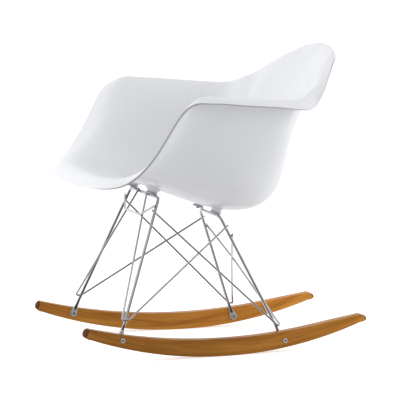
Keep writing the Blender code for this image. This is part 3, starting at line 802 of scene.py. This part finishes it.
def shell_wall_mesh(plastic, rim_shade_plastic):
    """The whole shell at its wall's thickness, without the bosses."""
    cage = shell_cage("shell")
    coat(cage, (plastic, rim_shade_plastic))
    shell = add_mesh("shell", cage)
    mirror = shell.modifiers.new("left and right", "MIRROR")
    mirror.merge_threshold = MIDDLE_GAP
    surface = shell.modifiers.new("smooth", "SUBSURF")
    surface.levels = SHELL_LEVELS
    surface.render_levels = SHELL_LEVELS
    wall = shell.modifiers.new("wall", "SOLIDIFY")
    wall.thickness = SHELL_WALL
    wall.offset = -1.0
    wall.use_even_offset = True
    # The wall's rim faces take the second material, painted grey as shade under the rim.
    wall.material_offset_rim = 1
    edge = shell.modifiers.new("rim", "BEVEL")
    edge.width = SHELL_EDGE
    edge.segments = 3
    edge.material = 0
    edge.limit_method = "ANGLE"
    edge.angle_limit = math.radians(50)
    mesh = finished_mesh(shell)
    fit_inside(mesh, CAD_BOX)
    return mesh


def build_shell(plastic, rim_shade_plastic):
    mesh = shell_wall_mesh(plastic, rim_shade_plastic)
    for _, side, bar, mount in MOUNTS:
        matrix = mount_frame(side, bar, mount, BOSS_BASE)
        profile = boss_profile(mount.boss_root, mount.boss_height)
        boss = add_mesh("boss", turned_mesh("boss", profile), matrix)
        coat(boss.data, (plastic,))
        mesh = boolean(add_mesh("shell", mesh), boss, "UNION")
        bore = add_mesh("bore", turned_mesh("bore", [
            (0.0, BOSS_BORE_DEPTH), (BOSS_BORE / 2, BOSS_BORE_DEPTH),
            (BOSS_BORE / 2, -BOSS_BORE_DEPTH), (0.0, -BOSS_BORE_DEPTH)]), matrix)
        coat(bore.data, (plastic,))
        mesh = boolean(add_mesh("shell", mesh), bore, "DIFFERENCE")
    piece("shell", add_mesh("shell", mesh), None, "shell_plastic", "seat_shell")


# ------------------------------------------------------------- turned pieces
def ring_profile(diameter, hole, thickness):
    outer, inner = diameter / 2, hole / 2
    return [(outer, thickness), (outer, 0.0), (inner, 0.0), (inner, thickness)]


def screw_profile(head, base, head_height, shank, tip):
    """Button-head screw, shank up."""
    top = base + head_height
    chamfer = shank * SHANK_CHAMFER
    rim = top - head_height * HEAD_RIM
    rise = head_height * (1 - HEAD_RIM)
    dome = [(head * math.cos(a), rim - rise * math.sin(a))
            for a in np.linspace(0.0, math.radians(60), 7)]
    return [(0.0, tip), (shank - chamfer, tip), (shank, tip - chamfer), (shank, top),
            (head, top)] + dome + [(0.0, top - head_height * HEAD_CROWN)]


def turned_piece(name, profile, matrix, edge, material, slot, node_name):
    obj = add_mesh(name, turned_mesh(name, profile), matrix)
    ease_edges(obj, edge, 2)
    piece(name, obj, material, slot, node_name)


def keyed_piece(name, profile, matrix, face, inward, finishes, slot, node_name):
    """Turned piece with a hexagonal key recess in the face at height face.

    The first finish is the piece's own, the second is the painted shade inside the recess.
    """
    body = add_mesh(name, turned_mesh(name, profile), matrix)
    ends = sorted((face - inward * HEX_DEPTH, face + inward * HEX_DEPTH))
    recess = turned_mesh("key", [
        (0.0, ends[1]), (HEX_KEY / 2, ends[1]), (HEX_KEY / 2, ends[0]), (0.0, ends[0])], 6)
    coat(body.data, finishes)
    coat(recess, finishes, 1)
    mesh = boolean(body, add_mesh("key", recess, matrix), "DIFFERENCE")
    mesh.transform(matrix.inverted())
    obj = add_mesh(name, mesh, matrix)
    ease_edges(obj, FASTENER_EDGE, 2)
    piece(name, obj, None, slot, node_name)


def build_mounts(nickel, rubber, screw_finishes):
    pad = ring_profile(PAD_DIAMETER, PLATE_HOLE, PAD_THICKNESS)
    plate = ring_profile(PLATE_DIAMETER, PLATE_HOLE, PLATE_THICKNESS)
    base = -FIT_GAP - SCREW_HEAD_HEIGHT
    tip = PLATE_THICKNESS + PAD_THICKNESS + 2 * FIT_GAP + SCREW_REACH
    screw = screw_profile(SCREW_HEAD / 2, base, SCREW_HEAD_HEIGHT, SCREW_SHANK / 2, tip)
    for label, side, bar, mount in MOUNTS:
        pad_place = mount_frame(side, bar, mount, PAD_BASE)
        plate_place = mount_frame(side, bar, mount, PLATE_BASE)
        turned_piece("pad_" + label, pad, pad_place, PAD_EDGE,
                     rubber, "pad_rubber", "mount_pad_" + label)
        turned_piece("plate_" + label, plate, plate_place, PLATE_EDGE,
                     nickel, "chrome_wire", "mount_plate_" + label)
        keyed_piece("shell_screw_" + label, screw, plate_place, base, 1,
                    screw_finishes, "fastener_steel", "mount_screw_" + label)


def build_rocker_fasteners(nickel, steel, key_shade):
    washer = ring_profile(WASHER_DIAMETER, EYE_HOLE, WASHER_THICKNESS)
    base = -FIT_GAP - BOLT_HEAD_HEIGHT
    tip = WASHER_THICKNESS + EYE_THICKNESS + 2 * FIT_GAP + BOLT_REACH
    screw = screw_profile(BOLT_HEAD / 2, base, BOLT_HEAD_HEIGHT, BOLT_SHANK / 2, tip)
    eye_face = -(ROCKER_THICKNESS / 2 + FIT_GAP + EYE_THICKNESS + FIT_GAP)
    for label, side, bolt in FEET:
        outward = rocker_frame(side).col[2].to_3d()
        seat = frame_at(on_rocker(side, bolt, eye_face - WASHER_THICKNESS), outward)
        face = frame_at(on_rocker(side, bolt, ROCKER_THICKNESS / 2 + FIT_GAP), outward)
        turned_piece("washer_" + label, washer, seat, FASTENER_EDGE,
                     steel, "fastener_steel", "rocker_washer_" + label)
        keyed_piece("bolt_" + label, screw, seat, base, 1,
                    (steel, key_shade), "fastener_steel", "rocker_bolt_" + label)
        keyed_piece("sleeve_nut_" + label, sleeve_profile(), face, SLEEVE_FLANGE_HEIGHT, -1,
                    (nickel, key_shade), "chrome_wire", "rocker_nut_" + label)


def sleeve_profile():
    """Barrel with a domed flange; its bore takes the bolt from below."""
    top = SLEEVE_FLANGE_HEIGHT
    flange = SLEEVE_FLANGE / 2
    bore = BOLT_SHANK / 2 + FIT_GAP
    roof = top - SLEEVE_ROOF
    return [(0.0, top), (flange - 0.0012, top), (flange - 0.0004, top - 0.0003),
            (flange, top - 0.0007), (flange, 0.0), (SLEEVE_BARREL / 2, 0.0),
            (SLEEVE_BARREL / 2, -SLEEVE_LENGTH), (bore, -SLEEVE_LENGTH), (bore, roof),
            (0.0, roof)]


# ----------------------------------------------------------------- wire base
def eye_mesh(name, side, bar, bolt):
    """Flattened eye at a leg's foot, a disc drawn out into the rod."""
    neck = neck_direction(side, bar, bolt)
    outward = rocker_frame(side).col[2].to_3d()
    lean = math.acos((EYE_RADIUS - LEG_ROD / 2) / EYE_NECK)
    sweep = 2 * (math.pi - lean)
    outline = []
    for step in range(SMOOTH_SIDES + 1):
        angle = math.pi / 2 + lean + sweep * step / SMOOTH_SIDES
        outline.append((EYE_RADIUS * math.cos(angle), EYE_RADIUS * math.sin(angle)))
    for side_of_rod in (1, -1):
        outline.append((side_of_rod * LEG_ROD * NECK_WIDTH, EYE_NECK + LEG_ROD))
    hole = circle_outline(EYE_HOLE / 2)
    eye = add_mesh(name, plate_mesh(name, (outline, hole), EYE_THICKNESS))
    ease_edges(eye, EYE_EDGE)
    mesh = finished_mesh(eye)
    out = -(ROCKER_THICKNESS / 2 + FIT_GAP + EYE_THICKNESS / 2)
    mesh.transform(frame_at(on_rocker(side, bolt, out), outward, neck))
    return mesh


def leg_path(bar, bolt, bend):
    """Centre line of a leg frame; leg_shape gives how its ends flatten toward the eyes."""
    corners = []
    for side in (-1, 1):
        neck = neck_direction(side, bar, bolt)
        inset = rocker_frame(side).col[2].to_3d() * (LEG_ROD - EYE_THICKNESS) / 2
        start = rod_end(side, bolt) + neck * EYE_RADIUS + inset
        ends = [start, rod_end(side, bolt) + neck * (EYE_NECK + LEG_ROD),
                rod_end(side, bolt) + neck * LEG_BEND, mirrored(bar, side)]
        corners += ends if side < 0 else ends[::-1]
    path = [corners[0], corners[1]] + rounded_path(corners[1:-1], bend)[1:] + [corners[-1]]
    return path


def leg_shape(path, bolt):
    """Flattening of the rod near its two eyes."""
    shape = []
    for place in path:
        side = 1 if place.x > 0 else -1
        away = (place - rod_end(side, bolt)).length
        share = min(1.0, max(0.0, (away - EYE_RADIUS) / (LEG_BEND - EYE_RADIUS)))
        share = share * share * (3 - 2 * share)
        outward = rocker_frame(side).col[2].to_3d()
        thin = EYE_THICKNESS * NECK_THICKNESS / LEG_ROD
        wide = 1 + NECK_SPREAD * (1 - share)
        shape.append((outward, thin + (1 - thin) * share, wide))
    return shape


def build_leg_frame(name, bar, bolt, bend, finishes, node_name):
    """One bent rod; the pressed eyes are duller than the plated rod."""
    path = leg_path(bar, bolt, bend)
    mesh = swept_mesh(name, path, LEG_ROD / 2, leg_shape(path, bolt))
    coat(mesh, finishes)
    for side in (-1, 1):
        eye = add_mesh("eye", eye_mesh("eye", side, bar, bolt))
        coat(eye.data, finishes, 1)
        mesh = boolean(add_mesh(name, mesh), eye, "UNION")
    piece(name, add_mesh(name, mesh), None, "chrome_wire", node_name)


def across(first, second, toward):
    """Unit vector square to two directions, on the side of a third."""
    normal = first.cross(second).normalized()
    return normal if normal.dot(toward) > 0 else -normal


def hook(centre, side, corners):
    """Corners of a wire that turns round a leg, from (out, back) steps."""
    return [centre + Vector((side * out, back, 0.0)) for out, back in corners]


WELDS = []


def past_leg(point, leg, origin, side_of):
    """End of a wire from origin that passes a leg on one side; notes its weld.

    The wire's run and its offset from the leg settle in a few rounds.
    """
    target = point
    for _ in range(4):
        run = (target - origin).normalized()
        offset = across(run, leg, side_of)
        target = point + offset * BRACE_OFFSET
    run = (target - origin).normalized()
    WELDS.append((point + offset * LEG_ROD / 2, run, offset))
    return target + run * (BRACE_NUB + LEG_ROD / 2)


def add_wire(name, path, material):
    mesh = swept_mesh(name, path, BRACE_ROD / 2)
    piece("wire_" + name, add_mesh(name, mesh), material, "chrome_wire", name)


def build_front_brace(name, side, material):
    """From the front bar, round the front leg, up to the rear leg's outside."""
    leg = front_leg(side, FRONT_HOOK_HEIGHT)[0]
    top = Vector((side * BAR_START, FRONT_BAR.y, FRONT_BAR.z))
    rear, rear_direction = rear_leg(side, SIDE_DIAGONAL_HEIGHT)
    out = Vector((side, 0.0, 0.0))
    first, last = hook(leg, side, FRONT_HOOK)
    start = past_leg(top, out, first, Vector((0.0, -1.0, 0.0)))
    end = past_leg(rear, rear_direction, last, out)
    add_wire(name, rounded_path([start, first, last, end], HOOK_BEND), material)
    note_hook_weld(leg, first.lerp(last, 0.5), last - first)


def build_rear_brace(name, side, material):
    """From the front leg, round the rear leg, across to the other rear leg."""
    leg = rear_leg(side, REAR_HOOK_HEIGHT)[0]
    front, front_direction = front_leg(side, REAR_BRACE_START_HEIGHT)
    far, far_direction = rear_leg(-side, CROSS_BRACE_HEIGHT)
    back = Vector((0.0, 1.0, 0.0))
    out = Vector((side, 0.0, 0.0))
    first, last = hook(leg, side, REAR_HOOK)
    start = past_leg(front, front_direction, first, back - out)
    middle = last.lerp(far, last.x / (last.x - far.x))
    middle += across(far - last, out, back) * (CROSS_BOW + side * CROSS_APART / 2)
    end = past_leg(far, far_direction, middle, back)
    add_wire(name, rounded_path([start, first, last, middle, end], HOOK_BEND), material)
    note_hook_weld(leg, first.lerp(last, 0.5), last - first)


def note_hook_weld(leg, wire, run):
    """Notes the weld between a leg and the middle of a hook round it."""
    WELDS.append((leg.lerp(wire, LEG_ROD / 2 / (wire - leg).length), run.normalized(),
                  (wire - leg).normalized()))


def build_tie(name, material):
    """Shallow trapezium between the front legs, dipping forward and down."""
    ahead = Vector((0.0, -1.0, 0.0))
    corners = []
    for side in (-1, 1):
        leg, direction = front_leg(side, TIE_HEIGHT)
        knee = mirrored(TIE_KNEE, side)
        ends = [past_leg(leg, direction, knee, ahead), knee]
        corners += ends if side < 0 else ends[::-1]
    add_wire(name, rounded_path(corners, TIE_BEND), material)


def build_welds(material):
    """A small plated bead on each crossing of a wire and a leg."""
    bm = bmesh.new()
    for place, run, offset in WELDS:
        matrix = frame_at(place, offset, run) @ Matrix.Diagonal((*WELD_BEAD, 1.0))
        bmesh.ops.create_uvsphere(bm, u_segments=16, v_segments=10, radius=1.0, matrix=matrix)
    mesh = bpy.data.meshes.new("weld_beads")
    bm.to_mesh(mesh)
    bm.free()
    piece("weld_beads", add_mesh("weld_beads", mesh), material, "chrome_wire")


# ------------------------------------------------------------------- rockers
def arc_height(radius, along):
    return radius - math.sqrt(radius ** 2 - along ** 2)


def rocker_outline():
    """Side view of a board: along it and up, anticlockwise."""
    steps = 90
    front = -ROCKER_FRONT + FRONT_NOSE
    rear = ROCKER_REAR - REAR_NOSE
    dip = arc_height(ROCKER_BOTTOM_RADIUS, ROCKER_FLAT)
    bottom = []
    for step in range(steps + 1):
        along = front + (rear - front) * step / steps
        bottom.append((along, max(0.0, arc_height(ROCKER_BOTTOM_RADIUS, along) - dip)))
    top = []
    for step in range(steps + 1):
        along = rear + (front - rear) * step / steps
        taper = ROCKER_TAPER * max(0.0, along - ROCKER_TAPER_START) ** 2
        top.append((along, ROCKER_DEPTH + arc_height(ROCKER_TOP_RADIUS, along) - taper))
    rear_tip = tip_arc(bottom[-1], top[0], ROCKER_REAR, REAR_NOSE_LEVEL)
    front_tip = tip_arc(top[-1], bottom[0], -ROCKER_FRONT, FRONT_NOSE_LEVEL)
    return bottom + rear_tip + top + front_tip


def tip_arc(start, end, reach, level, steps=12):
    """Rounded nose between two edge ends; level is the height share of its point."""
    low, high = sorted((start[1], end[1]))
    nose_height = low + (high - low) * level
    nose = []
    for step in range(1, steps + 1):
        angle = math.pi / 2 * step / steps
        nose.append((start[0] + (reach - start[0]) * math.sin(angle),
                     nose_height + (start[1] - nose_height) * math.cos(angle)))
    for step in range(1, steps):
        angle = math.pi / 2 * step / steps
        nose.append((end[0] + (reach - end[0]) * math.cos(angle),
                     nose_height + (end[1] - nose_height) * math.sin(angle)))
    return nose


def build_rocker(name, side, material):
    holes = [circle_outline(ROCKER_HOLE / 2, bolt) for bolt in (FRONT_BOLT, REAR_BOLT)]
    mesh = plate_mesh(name, [rocker_outline()] + holes, ROCKER_THICKNESS)
    board = add_mesh(name, mesh, rocker_frame(side))
    ease_edges(board, ROCKER_EDGE, 4, math.radians(60))
    piece("board_" + name, board, material, "rocker_wood", "rocker_" + name)


# ------------------------------------------------------------ stage and light
def glowing_white(name, strength):
    """Matt white that also gives off light of its own."""
    material = bpy.data.materials.new(name)
    material.use_nodes = True
    tree = material.node_tree
    tree.nodes.clear()
    white = node(tree, "Emission", {"Color": (1.0, 1.0, 1.0, 1.0), "Strength": strength})
    matte = node(tree, "BsdfDiffuse", {"Color": (0.9, 0.9, 0.9, 1.0)})
    both = node(tree, "AddShader")
    tree.links.new(white.outputs[0], both.inputs[0])
    tree.links.new(matte.outputs[0], both.inputs[1])
    tree.links.new(both.outputs[0], node(tree, "OutputMaterial").inputs["Surface"])
    return material


def build_floor():
    """Pale floor that neither tints the object nor shows in its reflections."""
    bm = bmesh.new()
    bmesh.ops.create_circle(bm, cap_ends=True, segments=64, radius=FLOOR_RADIUS)
    mesh = bpy.data.meshes.new("floor")
    bm.to_mesh(mesh)
    bm.free()
    floor = add_mesh("floor", mesh)
    mesh.materials.append(glowing_white("pale_floor", FLOOR_STRENGTH))
    floor.visible_glossy = False
    floor.visible_diffuse = False


def build_world():
    """White to the eye; to the object, soft light, stronger from right and below."""
    world = bpy.data.worlds.new("studio")
    bpy.context.scene.world = world
    world.use_nodes = True
    tree = world.node_tree
    tree.nodes.clear()
    toward = node(tree, "SeparateXYZ", {"Vector": node(tree, "TexCoord").outputs["Generated"]})
    path = node(tree, "LightPath").outputs
    fades = [remap(tree, toward.outputs[axis], -1.0, 1.0, *ends)
             for axis, ends in WORLD_FADES.items()]
    level = math_node(tree, "ADD", fades[0], math_node(tree, "ADD", fades[1], fades[2]))
    left = remap(tree, toward.outputs["X"], *DARK_LEFT, 0.0, DARK_DEPTH)
    low = remap(tree, toward.outputs["Z"], *DARK_TOP, 1.0, 0.0)
    dark = math_node(tree, "MULTIPLY", math_node(tree, "MULTIPLY", left, low),
                     path["Is Glossy Ray"])
    level = math_node(tree, "MULTIPLY", level, math_node(tree, "SUBTRACT", 1.0, dark))
    shine = math_node(tree, "MULTIPLY", path["Is Glossy Ray"], REFLECTION_GAIN)
    level = math_node(tree, "MULTIPLY", level, math_node(tree, "ADD", 1.0, shine))
    lit = node(tree, "Background", {"Color": (0.97, 0.985, 1.0, 1.0), "Strength": level})
    white = node(tree, "Background", {"Color": (1.0, 1.0, 1.0, 1.0), "Strength": 1.0})
    choice = node(tree, "MixShader", {"Fac": path["Is Camera Ray"]})
    tree.links.new(lit.outputs[0], choice.inputs[1])
    tree.links.new(white.outputs[0], choice.inputs[2])
    tree.links.new(choice.outputs[0], node(tree, "OutputWorld").inputs["Surface"])


def add_softbox(name, place, target, size, watts):
    """Rectangular light that is left out of the object's reflections."""
    light = bpy.data.lights.new(name, "AREA")
    light.shape = "RECTANGLE"
    light.size, light.size_y = size
    light.energy = watts
    obj = bpy.data.objects.new(name, light)
    bpy.context.scene.collection.objects.link(obj)
    obj.visible_glossy = False
    obj.location = place
    obj.rotation_euler = (Vector(target) - Vector(place)).to_track_quat("-Z", "Y").to_euler()


def build_camera():
    back = Vector((
        math.sin(CAMERA_AZIMUTH) * math.cos(CAMERA_ELEVATION),
        -math.cos(CAMERA_AZIMUTH) * math.cos(CAMERA_ELEVATION),
        math.sin(CAMERA_ELEVATION)))
    data = bpy.data.cameras.new("camera")
    data.lens = LENS
    data.sensor_width = SENSOR_WIDTH
    data.clip_end = 200.0
    camera = bpy.data.objects.new("camera", data)
    bpy.context.scene.collection.objects.link(camera)
    camera.location = CAMERA_TARGET + back * CAMERA_DISTANCE
    camera.rotation_euler = back.to_track_quat("Z", "Y").to_euler()
    bpy.context.scene.camera = camera


def build_stage():
    bpy.context.scene.view_settings.view_transform = "Standard"
    build_floor()
    build_world()
    for name, settings in SOFTBOXES.items():
        add_softbox(name, *settings)
    build_camera()


# --------------------------------------------------------------------- chair
def build_chair():
    plastic = white_plastic()
    woods = {"left": honey_wood("honey_wood_left", tone=0.84),
             "right": honey_wood("honey_wood_right", tone=1.14)}
    chrome = metal("chrome", (0.50, 0.50, 0.52), (0.62, 0.62, 0.64),
                   roughness=0.10, grain_scale=500.0)
    nickel = metal("satin_nickel", (0.58, 0.58, 0.59), (0.70, 0.70, 0.71),
                   roughness=0.35, grain_scale=900.0, metallic=0.35)
    steel = metal("zinc_steel", (0.44, 0.44, 0.45), (0.56, 0.56, 0.57),
                  roughness=0.35, grain_scale=1500.0, metallic=0.45)
    # Painted shade: the key recesses are near-black to stand for the shade inside a socket.
    key_shade = metal("key_recess_painted_shade", (0.020, 0.020, 0.022), (0.050, 0.050, 0.052),
                      roughness=0.5, grain_scale=900.0, metallic=0.3)
    brass = metal("brass", (0.58, 0.40, 0.15), (0.70, 0.51, 0.22),
                  roughness=0.35, grain_scale=1200.0)
    rubber = grey_rubber()
    build_shell(plastic, rim_painted_shade())
    for label, _, _, _ in MOUNTS:
        insert = frame["nodes"]["boss_insert_" + label]
        insert.data.materials.clear()
        insert.data.materials.append(brass)
    build_mounts(nickel, rubber, (steel, key_shade))
    finishes = (chrome, nickel)
    build_leg_frame("front_legs", FRONT_BAR, FRONT_BOLT, FRONT_BEND, finishes, "front_leg_frame")
    build_leg_frame("rear_legs", REAR_BAR, REAR_BOLT, REAR_BEND, finishes, "rear_leg_frame")
    build_tie("front_tie_wire", chrome)
    for label, side in (("left", 1), ("right", -1)):
        build_front_brace("front_brace_" + label, side, chrome)
        build_rear_brace("rear_brace_" + label, side, chrome)
        build_rocker(label, side, woods[label])
    build_welds(chrome)
    build_rocker_fasteners(nickel, steel, key_shade)


build_chair()
build_stage()
